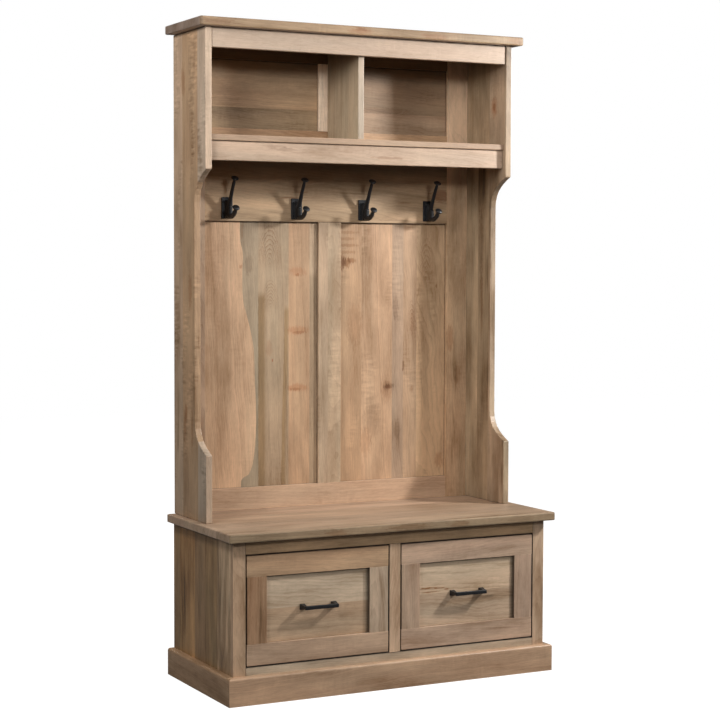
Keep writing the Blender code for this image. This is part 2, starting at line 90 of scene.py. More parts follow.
# Each light's place, what it faces, its size, its watts and whether it shows as a sheen
LIGHTS = {
    "key": ((1.9, -1.15, 2.03), (0, 0, 1.1), (0.25, 0.25), 62.0, True),
    "front": ((0, -4.5, 2.6), (0, 0, 1.1), (0.8, 0.5), 47.0, True),
    "left_near": ((-1.5, -0.9, 2.1), (0, 0, 1.4), (0.4, 0.4), 10.0, True),
    "left_side": ((-1.9, -0.6, 2.3), (0, 0, 1.6), (0.6, 0.6), 13.5, True),
    "left_far": ((-3.5, -2.0, 2.2), (0, 0, 1.0), (1.0, 1.0), 26.0, True),
    "top": ((0.8, -1.7, 2.8), (0, 0, 1.0), (1.2, 1.0), 10.0, True),
    "back": ((-0.2, 3.4, 2.0), (0, 0, 1.0), (1.6, 1.6), 90.0, False),
    "right_far": ((3.6, 0.8, 1.6), (0, 0, 0.9), (1.2, 1.2), 12.0, False),
}


def light():
    """The softboxes, and a white background that lights nothing."""
    for name, settings in LIGHTS.items():
        softbox(name, *settings)
    world = bpy.data.worlds.new("studio")
    world.use_nodes = True
    tree = world.node_tree
    background = tree.nodes["Background"]
    background.inputs["Color"].default_value = (1, 1, 1, 1)
    seen = tree.nodes.new("ShaderNodeLightPath")
    tree.links.new(seen.outputs["Is Camera Ray"], background.inputs["Strength"])
    bpy.context.scene.world = world


def floor():
    """A wide pale floor that reads white, with a faint shadow where the plinth meets it."""
    mesh = bpy.data.meshes.new("floor")
    half = 9.0
    corners = [(-half, -half, 0), (half, -half, 0), (half, half, 0), (-half, half, 0)]
    mesh.from_pydata(corners, [], [(0, 1, 2, 3)])
    made = bpy.data.objects.new("floor", mesh)
    bpy.context.scene.collection.objects.link(made)
    made.location.z = -0.0005
    material = bpy.data.materials.new("floor")
    material.use_nodes = True
    tree = material.node_tree
    tree.nodes.clear()
    out = tree.nodes.new("ShaderNodeOutputMaterial")
    mix = tree.nodes.new("ShaderNodeMixShader")
    path = tree.nodes.new("ShaderNodeLightPath")
    dim = tree.nodes.new("ShaderNodeBsdfDiffuse")
    dim.inputs["Color"].default_value = (0.22, 0.22, 0.22, 1)
    both = tree.nodes.new("ShaderNodeAddShader")
    glow = tree.nodes.new("ShaderNodeEmission")
    glow.inputs["Color"].default_value = (1, 1, 1, 1)
    glow.inputs["Strength"].default_value = 1.0
    pale = tree.nodes.new("ShaderNodeBsdfDiffuse")
    pale.inputs["Color"].default_value = (0.16, 0.16, 0.16, 1)
    tree.links.new(glow.outputs[0], both.inputs[0])
    tree.links.new(pale.outputs[0], both.inputs[1])
    tree.links.new(path.outputs["Is Camera Ray"], mix.inputs[0])
    tree.links.new(dim.outputs[0], mix.inputs[1])
    tree.links.new(both.outputs[0], mix.inputs[2])
    tree.links.new(mix.outputs[0], out.inputs["Surface"])
    mesh.materials.append(material)


# Each node's tone, or the axis across its boards, then where each board ends and its tone
TONES = {
    "hutch_side_left": (
        "y",
        [
            (-0.0092, (0.466, 0.338, 0.241)),
            (0.05, (0.413, 0.312, 0.230)),
            (0.165, (0.396, 0.256, 0.154)),
            (0.24, (0.473, 0.333, 0.226)),
        ],
    ),
    "hutch_side_right": (
        "y",
        [
            (-0.0092, (0.322, 0.234, 0.153)),
            (0.085, (0.379, 0.271, 0.182)),
            (0.15, (0.328, 0.236, 0.149)),
            (0.24, (0.379, 0.281, 0.181)),
        ],
    ),
    "crown_top": ("y", [(-0.034, (0.346, 0.238, 0.145)), (0.24, (0.418, 0.309, 0.244))]),
    "crown_rail": (0.476, 0.354, 0.262),
    "cubby_shelf": ("y", [(0.003, (0.375, 0.257, 0.174)), (0.24, (0.540, 0.345, 0.198))]),
    "shelf_apron": (0.498, 0.355, 0.254),
    "cubby_divider": ("y", [(0.015, (0.406, 0.317, 0.239)), (0.24, (0.393, 0.307, 0.209))]),
    "back_stile_left": (0.415, 0.285, 0.193),
    "back_stile_right": ("z", [(1.55, (0.570, 0.379, 0.233)), (1.9, (0.622, 0.458, 0.316))]),
    "back_rail_bottom": (0.526, 0.350, 0.231),
    "hook_rail": ("z", [(1.58, (0.452, 0.304, 0.182)), (1.63, (0.490, 0.310, 0.180))]),
    # Very dark: painted shade for the top rail, which lies in shadow under the crown
    "back_rail_top": (0.105, 0.062, 0.032),
    "back_mullion_lower": ("x", [(-0.006, (0.453, 0.321, 0.214)), (0.05, (0.451, 0.326, 0.215))]),
    "back_mullion_upper": (0.862, 0.702, 0.543),
    "back_panel_left": (
        "x",
        [
            (-0.296, (0.557, 0.367, 0.230)),
            (-0.237, (0.342, 0.264, 0.179)),
            (-0.137, (0.394, 0.283, 0.183)),
            (-0.066, (0.469, 0.296, 0.177)),
            (-0.02, (0.448, 0.320, 0.210)),
        ],
    ),
    "back_panel_right": (
        "x",
        [
            (0.113, (0.448, 0.283, 0.167)),
            (0.222, (0.495, 0.316, 0.194)),
            (0.262, (0.381, 0.262, 0.176)),
            (0.309, (0.449, 0.290, 0.179)),
            (0.45, (0.521, 0.341, 0.202)),
        ],
    ),
    "cubby_panel_left": ("z", [(1.69, (0.376, 0.263, 0.155)), (1.9, (0.451, 0.300, 0.177))]),
    "cubby_panel_right": ("z", [(1.69, (0.420, 0.286, 0.185)), (1.9, (0.301, 0.203, 0.125))]),
    "seat_top": (
        "y",
        [
            (-0.235, (0.310, 0.220, 0.136)),
            (-0.14, (0.402, 0.284, 0.194)),
            (-0.03, (0.387, 0.275, 0.191)),
            (0.1, (0.395, 0.275, 0.186)),
            (0.24, (0.442, 0.303, 0.209)),
        ],
    ),
    "base_side_left": (
        "y",
        [
            (-0.094, (0.514, 0.346, 0.214)),
            (-0.006, (0.296, 0.182, 0.090)),
            (0.07, (0.273, 0.169, 0.090)),
            (0.188, (0.423, 0.238, 0.106)),
            (0.24, (0.269, 0.166, 0.083)),
        ],
    ),
    "base_side_right": (
        "y",
        [
            (-0.08, (0.220, 0.155, 0.100)),
            (0.03, (0.235, 0.175, 0.118)),
            (0.12, (0.240, 0.165, 0.105)),
            (0.24, (0.230, 0.170, 0.115)),
        ],
    ),
    "face_stile_left": (0.491, 0.331, 0.212),
    "face_stile_middle": (0.570, 0.396, 0.264),
    "face_stile_right": (0.528, 0.361, 0.241),
    "face_rail_top": (0.456, 0.298, 0.170),
    "face_rail_bottom": (0.442, 0.339, 0.240),
    "plinth_front": (0.467, 0.299, 0.187),
    "plinth_left": (0.434, 0.276, 0.163),
    "plinth_right": (0.330, 0.250, 0.180),
    "drawer_left_rail_top": (0.455, 0.291, 0.174),
    "drawer_left_stile_left": (0.366, 0.214, 0.121),
    "drawer_left_stile_right": (0.479, 0.353, 0.248),
    "drawer_left_rail_bottom": (0.465, 0.308, 0.205),
    "drawer_left_panel": ("z", [(0.26, (0.505, 0.349, 0.226)), (0.4, (0.563, 0.436, 0.309))]),
    "drawer_right_rail_top": (0.467, 0.317, 0.221),
    "drawer_right_stile_left": (0.450, 0.307, 0.211),
    "drawer_right_stile_right": (0.424, 0.294, 0.209),
    "drawer_right_rail_bottom": (0.498, 0.334, 0.231),
    "drawer_right_panel": ("z", [(0.26, (0.514, 0.374, 0.258)), (0.4, (0.607, 0.446, 0.305))]),
}


class Net:
    """Short calls for building a node tree."""

    def __init__(self, tree):
        self.tree = tree

    def put(self, socket, value):
        if isinstance(value, bpy.types.NodeSocket):
            self.tree.links.new(value, socket)
        elif value is not None:
            socket.default_value = value

    def math(self, operation, a, b=None):
        node = self.tree.nodes.new("ShaderNodeMath")
        node.operation = operation
        self.put(node.inputs[0], a)
        self.put(node.inputs[1], b)
        return node.outputs[0]

    def vector(self, operation, a, b=None):
        node = self.tree.nodes.new("ShaderNodeVectorMath")
        node.operation = operation
        self.put(node.inputs[0], a)
        self.put(node.inputs[1], b)
        return node.outputs["Value" if operation == "LENGTH" else "Vector"]

    def split(self, vector):
        node = self.tree.nodes.new("ShaderNodeSeparateXYZ")
        self.put(node.inputs[0], vector)
        return node.outputs

    def join(self, x, y, z):
        node = self.tree.nodes.new("ShaderNodeCombineXYZ")
        for socket, value in zip(node.inputs, (x, y, z)):
            self.put(socket, value)
        return node.outputs[0]

    def noise(self, vector, stretch, detail=2.0, rough=0.5):
        """Noise whose features are 1 / stretch metres long on each axis."""
        node = self.tree.nodes.new("ShaderNodeTexNoise")
        self.put(node.inputs["Vector"], self.vector("MULTIPLY", vector, stretch))
        node.inputs["Scale"].default_value = 1.0
        node.inputs["Detail"].default_value = detail
        node.inputs["Roughness"].default_value = rough
        return node.outputs

    def step(self, value, low, high, out_low=0.0, out_high=1.0):
        """A smooth step from out_low at low to out_high at high."""
        node = self.tree.nodes.new("ShaderNodeMapRange")
        node.interpolation_type = "SMOOTHSTEP"
        self.put(node.inputs["Value"], value)
        for name, number in (
            ("From Min", low),
            ("From Max", high),
            ("To Min", out_low),
            ("To Max", out_high),
        ):
            self.put(node.inputs[name], number)
        return node.outputs["Result"]

    def ramp(self, value, stops):
        """Flat bands of colour over 0 to 1. stops are (where a band starts, its colour)."""
        node = self.tree.nodes.new("ShaderNodeValToRGB")
        node.color_ramp.interpolation = "CONSTANT"
        elements = node.color_ramp.elements
        while len(elements) > 1:
            elements.remove(elements[-1])
        for index, (position, colour) in enumerate(stops):
            element = elements[0] if index == 0 else elements.new(position)
            element.position = position
            element.color = (*colour, 1.0)
        self.put(node.inputs[0], value)
        return node.outputs["Color"]

    def mix(self, amount, a, b):
        """Colour a, turning into colour b as amount goes from 0 to 1."""
        node = self.tree.nodes.new("ShaderNodeMix")
        node.data_type = "RGBA"
        for socket, value in ((0, amount), (6, a), (7, b)):
            if isinstance(value, tuple):
                value = (*value, 1.0)
            self.put(node.inputs[socket], value)
        return node.outputs[2]

    def scale(self, colour, factor):
        """The colour times a grey factor."""
        return self.vector("MULTIPLY", colour, self.join(factor, factor, factor))


# The strengths that a board's figure is drawn with, and their usual values
FIGURE = {
    "Rings": 0.85,
    "Streaks": 0.75,
    "Blotches": 0.95,
    "Curl": 0.18,
    "Mineral": 0.55,
    "Grey": 0.6,
}


def maple_group():
    """Stained maple. Its Vector input is in metres with X along the grain."""
    group = bpy.data.node_groups.new("maple", "ShaderNodeTree")
    face = group.interface
    given = {"Vector": "Vector", "Pith": "Vector", "Tone": "Color"}
    given.update(dict.fromkeys(FIGURE, "Float"))
    made = {"Colour": "Color", "Height": "Float", "Rough": "Float"}
    for way, sockets in (("INPUT", given), ("OUTPUT", made)):
        for name, kind in sockets.items():
            face.new_socket(name, in_out=way, socket_type="NodeSocket" + kind)
    inside = group.nodes.new("NodeGroupInput").outputs
    out = group.nodes.new("NodeGroupOutput").inputs
    net = Net(group)
    place = inside["Vector"]

    def centred(vector, stretch, size):
        """A noise push across the grain, up to size metres either way."""
        field = net.noise(vector, stretch, 2.0)["Color"]
        field = net.vector("SUBTRACT", field, (0.5, 0.5, 0.5))
        return net.vector("MULTIPLY", field, (0, size, size))

    # The grain wavers slowly along the board, and more quickly by a little.
    bend = centred(place, (1.6, 7, 7), 0.036)
    wander = centred(place, (10, 18, 18), 0.010)
    grain = net.vector("ADD", place, net.vector("ADD", bend, wander))

    # Growth rings round a pith, so a flat-sawn face shows cathedrals and an end shows arcs.
    from_pith = net.split(net.vector("SUBTRACT", grain, inside["Pith"]))
    square = net.math("MULTIPLY", from_pith[1], from_pith[1])
    square = net.math("ADD", square, net.math("MULTIPLY", from_pith[2], from_pith[2]))
    reach = net.math("SQRT", square)
    reach = net.math("ADD", reach, net.math("MULTIPLY", from_pith[0], 0.040))
    drift = net.math("MULTIPLY", from_pith[0], 0.02)
    years = net.noise(net.join(reach, drift, 0.0), (130, 1, 1), 3.0, 0.6)["Fac"]
    phase = net.math("ADD", net.math("MULTIPLY", reach, 230.0), net.math("MULTIPLY", years, 2.4))
    latewood = net.math("POWER", net.math("FRACT", phase), 4.0)

    streaks = net.noise(grain, (3.6, 46, 46), 5.0, 0.62)["Fac"]
    broad = net.noise(grain, (1.4, 13, 13), 2.0, 0.5)["Fac"]
    threads = net.noise(grain, (26, 250, 250), 3.0, 0.65)["Fac"]
    fibres = net.noise(grain, (60, 780, 780), 1.0, 0.6)["Fac"]
    flecks = net.step(net.noise(grain, (90, 1100, 1100), 1.0)["Fac"], 0.62, 0.76)
    blotches = net.noise(wavy(net, place), (6, 20, 20), 4.0, 0.58)["Fac"]
    patches = net.noise(place, (2.6, 8, 8), 2.0, 0.5)["Fac"]
    mineral = net.step(net.noise(grain, (1.5, 24, 24), 4.0, 0.6)["Fac"], 0.60, 0.74)
    hue = net.step(net.noise(grain, (1.8, 14, 14), 3.0, 0.55)["Fac"], 0.36, 0.66)
    ripple = net.noise(grain, (115, 26, 26), 2.0, 0.5)["Fac"]
    rippled = net.step(net.noise(place, (6, 16, 16), 1.0)["Fac"], 0.50, 0.66)

    def swing(field, size, strength=None):
        """field, which averages 0.5, as a change of brightness round zero."""
        amount = net.math("MULTIPLY", net.math("SUBTRACT", field, 0.5), size)
        return net.math("MULTIPLY", amount, strength) if strength is not None else amount

    terms = [
        swing(years, 0.62, inside["Rings"]),
        swing(streaks, 0.55, inside["Streaks"]),
        swing(broad, 0.60, inside["Streaks"]),
        swing(threads, 0.34),
        swing(fibres, 0.26),
        swing(blotches, 0.80, inside["Blotches"]),
        swing(patches, 0.95, inside["Blotches"]),
        net.math("MULTIPLY", net.math("MULTIPLY", latewood, -0.17), inside["Rings"]),
        net.math("MULTIPLY", flecks, -0.10),
        net.math("MULTIPLY", net.math("MULTIPLY", mineral, -0.42), inside["Mineral"]),
        net.math("MULTIPLY", swing(ripple, 1.3, inside["Curl"]), rippled),
    ]
    shade = terms[0]
    for term in terms[1:]:
        shade = net.math("ADD", shade, term)
    shade = net.math("MAXIMUM", net.math("ADD", shade, 1.0), 0.25)

    colour = net.scale(inside["Tone"], shade)
    greyed = net.vector("MULTIPLY", colour, (0.95, 0.985, 0.98))
    warmed = net.vector("MULTIPLY", colour, (1.045, 1.0, 0.96))
    colour = net.mix(inside["Grey"], colour, net.mix(hue, warmed, greyed))
    # Where the stain took darker, it is also a little redder.
    dark = net.step(shade, 0.95, 0.60)
    colour = net.mix(dark, colour, net.vector("MULTIPLY", colour, (1.0, 0.92, 0.82)))
    net.put(out["Colour"], colour)

    height = net.math("ADD", net.math("MULTIPLY", fibres, 0.5), net.math("MULTIPLY", threads, 0.5))
    height = net.math("SUBTRACT", height, net.math("MULTIPLY", flecks, 0.5))
    curled = net.math("MULTIPLY", net.math("MULTIPLY", ripple, rippled), inside["Curl"])
    height = net.math("ADD", height, curled)
    net.put(out["Height"], height)
    rough = net.math("ADD", 0.40, swing(blotches, 0.16))
    rough = net.math("ADD", rough, net.math("MULTIPLY", flecks, 0.12))
    net.put(out["Rough"], net.math("SUBTRACT", rough, swing(streaks, 0.10)))
    return group


def wavy(net, place):
    """place, stirred along and across so that blotches have ragged ends."""
    stir = net.noise(place, (28, 60, 60), 2.0)["Color"]
    stir = net.vector("SUBTRACT", stir, (0.5, 0.5, 0.5))
    return net.vector("ADD", place, net.vector("MULTIPLY", stir, (0.03, 0.012, 0.012)))


MAPLE = maple_group()
# For the way a board's grain runs, the axes along and across it
AXES = {"x": (0, 1, 2), "y": (1, 0, 2), "z": (2, 0, 1)}
# Stains that multiply the wood's colour
DARK = (0.52, 0.40, 0.31)
BROWN = (0.66, 0.52, 0.42)
RED = (0.86, 0.66, 0.55)
SMOKE = (0.70, 0.66, 0.63)


def edge_distance(net, place, node):
    """Metres from a point on a board's face to that face's nearest edge."""
    low, high = (Vector(corner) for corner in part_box(node))
    gaps = []
    for part, start, end in zip(net.split(place), low, high):
        before, after = net.math("SUBTRACT", part, start), net.math("SUBTRACT", end, part)
        gaps.append(net.math("MINIMUM", before, after))
    total = net.math("ADD", net.math("ADD", gaps[0], gaps[1]), gaps[2])
    least = net.math("MINIMUM", net.math("MINIMUM", gaps[0], gaps[1]), gaps[2])
    most = net.math("MAXIMUM", net.math("MAXIMUM", gaps[0], gaps[1]), gaps[2])
    return net.math("SUBTRACT", net.math("SUBTRACT", total, least), most)


def curve(net, value, points):
    """A smooth curve through points, which run from 0 to 1 both ways."""
    node = net.tree.nodes.new("ShaderNodeFloatCurve")
    line = node.mapping.curves[0]
    for index, (x, y) in enumerate(points):
        if index < 2:
            line.points[index].location = (x, y)
        else:
            line.points.new(x, y)
    node.mapping.update()
    net.put(node.inputs["Value"], value)
    return node.outputs[0]


# How far in from a panel's left, right, lower and upper edges painted shade darkens it, and how
# dark
PANEL_SHADOWS = ((0.003, 0.60), (0.004, 0.30), (0.002, 0.60), (0.005, 0.25))

# The frame that shows from behind too, the tone it has there, and how dark the painted shade of
# its dims may get
BACK_FRAME = (
    "back_stile_left", "back_stile_right", "back_mullion_lower", "back_mullion_upper",
    "back_rail_bottom", "hook_rail", "back_rail_top",
)
REAR_TONE = (0.45, 0.31, 0.20)
FRAME_LEAST = 0.5

ARC_COUNT = 9.0  # nested arches from the middle of an arc to its rim
EDGE_WEAR_AND_HIGHLIGHT = 0.16  # how much lighter the wood is along an edge: rubbed wear and a painted highlight
BOARD_JUMP = (3.0, 3.0, 3.0)  # how far apart, in the figure, neighbouring boards are cut


def bowed(net, parts, spread, box, boards, bow):
    """spread, moved so that the first joint after bow's x runs through bow's (x, z) points."""
    joint, points = bow
    bottom, top = box[0][2], box[1][2]
    scaled = sorted(((z - bottom) / (top - bottom), (x - joint) * 10) for x, z in points)
    level = net.math("DIVIDE", net.math("SUBTRACT", parts[2], bottom), top - bottom)
    push = net.math("MULTIPLY", curve(net, level, scaled), 0.1)
    next_joint = next(end for end, _ in boards if end > joint + 0.01)
    fade = net.step(spread, next_joint - 0.0005, next_joint - 0.004)
    return net.math("SUBTRACT", spread, net.math("MULTIPLY", push, fade))


def from_mark(net, along, grain, where, size):
    """The way from a mark's middle, in units of its size along and across the grain."""
    offset = net.vector("SUBTRACT", along, tuple(where[axis] for axis in AXES[grain]))
    return net.vector("MULTIPLY", offset, (1 / size[0], 1 / size[1], 1 / size[1]))


def spotted(net, colour, along, grain, ragged, spots):
    """Knots, smudges and mineral flecks: stains with ragged rims."""
    for where, size, strength, stain in spots:
        offset = from_mark(net, along, grain, where, size)
        roughly = net.math("MULTIPLY", ragged, 2.0)
        distance = net.math("ADD", net.vector("LENGTH", offset), roughly)
        amount = net.math("MULTIPLY", net.step(distance, 1.10, 0.50), strength)
        colour = net.mix(amount, colour, net.vector("MULTIPLY", colour, stain))
    return colour


def arched(net, colour, along, grain, ragged, arcs):
    """The nested arches of flat-sawn boards."""
    for where, size, strength in arcs:
        offset = from_mark(net, along, grain, where, size)
        roughly = net.math("MULTIPLY", ragged, 0.16)
        distance = net.math("ADD", net.vector("LENGTH", offset), roughly)
        line = net.math("FRACT", net.math("MULTIPLY", distance, ARC_COUNT))
        line = net.math("POWER", line, 2.5)
        upper = net.step(net.split(offset)[0], -0.25, 0.35)
        inside = net.math("MULTIPLY", net.step(distance, 1.15, 0.85), upper)
        amount = net.math("MULTIPLY", net.math("MULTIPLY", line, inside), strength)
        colour = net.mix(amount, colour, net.vector("MULTIPLY", colour, BROWN))
    return colour


def banded(net, colour, parts, box, axes, ragged, bands):
    """Streaks on the far side of a line that runs with the grain, for axes (across, along)."""
    low, high = box
    across, along = axes
    bottom, tall = low[along], high[along] - low[along]
    left, wide = low[across], high[across] - low[across]
    for points, width, strength, stain in bands:
        scaled = sorted(((b - bottom) / tall, (a - left) / wide) for a, b in points)
        level = net.math("DIVIDE", net.math("SUBTRACT", parts[along], bottom), tall)
        line = net.math("ADD", net.math("MULTIPLY", curve(net, level, scaled), wide), left)
        gone = net.math("SUBTRACT", parts[across], line)
        gone = net.math("ADD", gone, net.math("MULTIPLY", ragged, 0.006))
        near, far = net.step(gone, -0.0012, 0.0018), net.step(gone, width, width * 0.45)
        amount = net.math("MULTIPLY", near, far)
        first, last = scaled[0][0], scaled[-1][0]
        amount = net.math("MULTIPLY", amount, net.step(level, first - 0.01, first + 0.03))
        amount = net.math("MULTIPLY", amount, net.step(level, last + 0.005, last - 0.03))
        amount = net.math("MULTIPLY", amount, strength)
        colour = net.mix(amount, colour, net.vector("MULTIPLY", colour, stain))
    return colour


def rim_shading(net, parts, rubbed, opening, shadows):
    """The painted shade that darkens a panel towards the frame round its opening."""
    (x0, x1), (z0, z1) = opening
    shading = 1.0
    ragged_rim = net.math("MULTIPLY", net.math("SUBTRACT", rubbed, 0.5), 0.003)
    rims = (
        net.math("SUBTRACT", parts[0], x0),
        net.math("SUBTRACT", x1, parts[0]),
        net.math("SUBTRACT", parts[2], z0),
        net.math("SUBTRACT", z1, parts[2]),
    )
    for rim, (reach, least) in zip(rims, shadows):
        rim = net.math("ADD", rim, ragged_rim)
        shading = net.math("MULTIPLY", shading, net.step(rim, 0.0003, reach, least, 1.0))
    return shading


def painted_shade_factor(net, parts, box, dim):
    """The painted shade of one dim: its least at its side of the box, 1 beyond its reach."""
    side, reach, least, behind = dim
    axis = "xyz".index(side[0])
    if side[1] == "+":
        away = net.math("SUBTRACT", box[1][axis], parts[axis])
    else:
        away = net.math("SUBTRACT", parts[axis], box[0][axis])
    start, end, *stop = reach if isinstance(reach, tuple) else (reach * 0.15, reach)
    factor = net.step(away, start, end, least, 1.0)
    if stop:
        factor = net.math("MAXIMUM", factor, net.step(away, stop[0] + 0.001, stop[0]))
    if behind is not None:
        deep = net.step(parts[1], behind, behind + 0.0010)
        lost = net.math("MULTIPLY", deep, net.math("SUBTRACT", 1.0, factor))
        factor = net.math("SUBTRACT", 1.0, lost)
    return factor


def wood(
    node, grain, seed, spots=(), bands=(), arcs=(), dims=(),
    opening=None, shadows=PANEL_SHADOWS, bow=None, **figure,
):
    """Puts stained maple on a CAD node, in the tones that TONES gives its boards.

    A spot is (place, size along and across the grain, strength, stain). A band is
    (edge points as (across, along), width, strength, stain): a streak on one side of a line
    that runs with the grain. An arc is (place, size along and across the grain, strength):
    the nested arches of a flat-sawn board. A dim is (side, reach, least, behind): painted
    shade, where the wood darkens to least within reach of that side of its box, only where
    it is deeper than y = behind if that is given; reach may be (start, end) or (start, end,
    where it stops). opening is the part of a panel that its frame leaves open, and shadows
    is the painted shade that darkens it at its edges. bow is (x, points): the first joint
    after x bows out to these (x, z) points, where sapwood begins. figure changes strengths
    in FIGURE, by their small names. Boards without an opening are a little lighter along
    their edges: rubbed wear and a painted highlight.
    """
    material = bpy.data.materials.new(node + "_maple")
    material.use_nodes = True
    tree = material.node_tree
    net = Net(tree)
    shader = tree.nodes["Principled BSDF"]
    place = tree.nodes.new("ShaderNodeTexCoord").outputs["Object"]
    parts = net.split(place)
    along = net.join(*(parts[axis] for axis in AXES[grain]))
    draw = random.Random(seed)
    box = low, high = [Vector(corner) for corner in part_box(node)]
    middle = (low + high) / 2
    shift = Vector((draw.uniform(0, 9), draw.uniform(0, 9), draw.uniform(0, 9)))
    centre = Vector([middle[axis] for axis in AXES[grain]])
    moved = net.vector("ADD", along, tuple(shift))
    across, boards = TONES[node] if len(TONES[node]) == 2 else ("z", [(high.z, TONES[node])])
    tint = boards[0][1]
    if len(boards) > 1:
        axis = "xyz".index(across)
        span = high[axis] - low[axis]
        spread = bowed(net, parts, parts[axis], box, boards, bow) if bow else parts[axis]
        position = net.math("DIVIDE", net.math("SUBTRACT", spread, low[axis]), span)
        starts = [0.0] + [(end - low[axis]) / span for end, _ in boards[:-1]]
        tint = net.ramp(position, [(start, tone) for start, (_, tone) in zip(starts, boards)])
        jumps = [(start, (draw.random(), draw.random(), 0.5)) for start in starts]
        jump = net.ramp(position, jumps)
        moved = net.vector("ADD", moved, net.vector("MULTIPLY", jump, BOARD_JUMP))
    if node in BACK_FRAME:
        rear = net.step(parts[1], high.y - 0.003, high.y - 0.002)
        tint = net.mix(rear, tint, REAR_TONE)
    pith = (0.0, draw.uniform(-0.05, 0.05), draw.choice((-1, 1)) * draw.uniform(0.03, 0.07))
    group = tree.nodes.new("ShaderNodeGroup")
    group.node_tree = MAPLE
    net.put(group.inputs["Vector"], moved)
    net.put(group.inputs["Pith"], tuple(centre + shift + Vector(pith)))
    net.put(group.inputs["Tone"], (*tint, 1.0) if isinstance(tint, tuple) else tint)
    for name, usual in FIGURE.items():
        group.inputs[name].default_value = figure.get(name.lower(), usual)
    colour = group.outputs["Colour"]
    if spots or bands or arcs:
        ragged = net.noise(along, (60, 230, 230), 3.0, 0.6)["Fac"]
        ragged = net.math("SUBTRACT", ragged, 0.5)
        axes = ["xyz".index(letter) for letter in (across, grain)]
        colour = spotted(net, colour, along, grain, ragged, spots)
        colour = arched(net, colour, along, grain, ragged, arcs)
        colour = banded(net, colour, parts, box, axes, ragged, bands)
    # A noise that makes the edge wear and highlight patchy and the rim of a panel's painted shade
    # ragged
    rubbed = net.noise(place, (60, 60, 60), 3.0, 0.6)["Fac"]
    if opening:
        shading = rim_shading(net, parts, rubbed, opening, shadows)
    else:
        # Lighter along the edges: rubbed wear and a painted highlight on the arrises
        edge = net.step(edge_distance(net, place, node), 0.0030, 0.0006)
        worn_and_highlit = net.math("MULTIPLY", edge, net.step(rubbed, 0.30, 0.62))
        shading = net.math("ADD", 1.0, net.math("MULTIPLY", worn_and_highlit, EDGE_WEAR_AND_HIGHLIGHT))
    # Painted shade from the dims; on the back frame it keeps at least half the colour
    for dim in dims:
        factor = painted_shade_factor(net, parts, box, dim)
        if node in BACK_FRAME:
            factor = net.math("MAXIMUM", factor, FRAME_LEAST)
        shading = net.math("MULTIPLY", shading, factor)
    net.put(shader.inputs["Base Color"], net.scale(colour, shading))
    net.put(shader.inputs["Roughness"], group.outputs["Rough"])
    shader.inputs["Specular IOR Level"].default_value = 0.38
    bump = tree.nodes.new("ShaderNodeBump")
    bump.inputs["Strength"].default_value = 0.35
    bump.inputs["Distance"].default_value = 0.00025
    net.put(bump.inputs["Height"], group.outputs["Height"])
    net.put(shader.inputs["Normal"], bump.outputs["Normal"])
    give(node, material)


def give(node, material):
    """Puts the material in all of a node's slots."""
    for slot in NODES[node].material_slots:
        slot.material = material


def black_iron(name):
    """Cast iron under a satin black coat, rubbed a little on the raised places."""
    material = bpy.data.materials.new(name)
    material.use_nodes = True
    tree = material.node_tree
    net = Net(tree)
    shader = tree.nodes["Principled BSDF"]
    place = tree.nodes.new("ShaderNodeTexCoord").outputs["Object"]
    cast = net.noise(place, (620, 620, 620), 3.0, 0.6)["Fac"]
    cloud = net.noise(place, (55, 55, 55), 3.0, 0.55)["Fac"]
    point = tree.nodes.new("ShaderNodeNewGeometry").outputs["Pointiness"]
    rub = net.math("MULTIPLY", net.step(point, 0.53, 0.62), net.step(cloud, 0.35, 0.65))
    black = net.mix(cloud, (0.0040, 0.0042, 0.0052), (0.0100, 0.0105, 0.0125))
    net.put(shader.inputs["Base Color"], net.mix(rub, black, (0.040, 0.040, 0.042)))
    rough = net.math("ADD", 0.34, net.math("MULTIPLY", cast, 0.22))
    net.put(shader.inputs["Roughness"], rough)
    shader.inputs["Specular IOR Level"].default_value = 0.45
    bump = tree.nodes.new("ShaderNodeBump")
    bump.inputs["Strength"].default_value = 0.30
    bump.inputs["Distance"].default_value = 0.00018
    net.put(bump.inputs["Height"], net.math("ADD", cast, net.math("MULTIPLY", cloud, 0.5)))
    net.put(shader.inputs["Normal"], bump.outputs["Normal"])
    return material


def sight(left, right, below, above):
    """The opening that four frame boards leave for a panel."""
    x = (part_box(left)[1][0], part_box(right)[0][0])
    return x, (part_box(below)[1][2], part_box(above)[0][2])


def marks(y, *rows):
    """Spots on an upright face at y, from rows of (x, z, length, width, strength, stain)."""
    return [((x, y, z), size, strength, stain) for x, z, *size, strength, stain in rows]


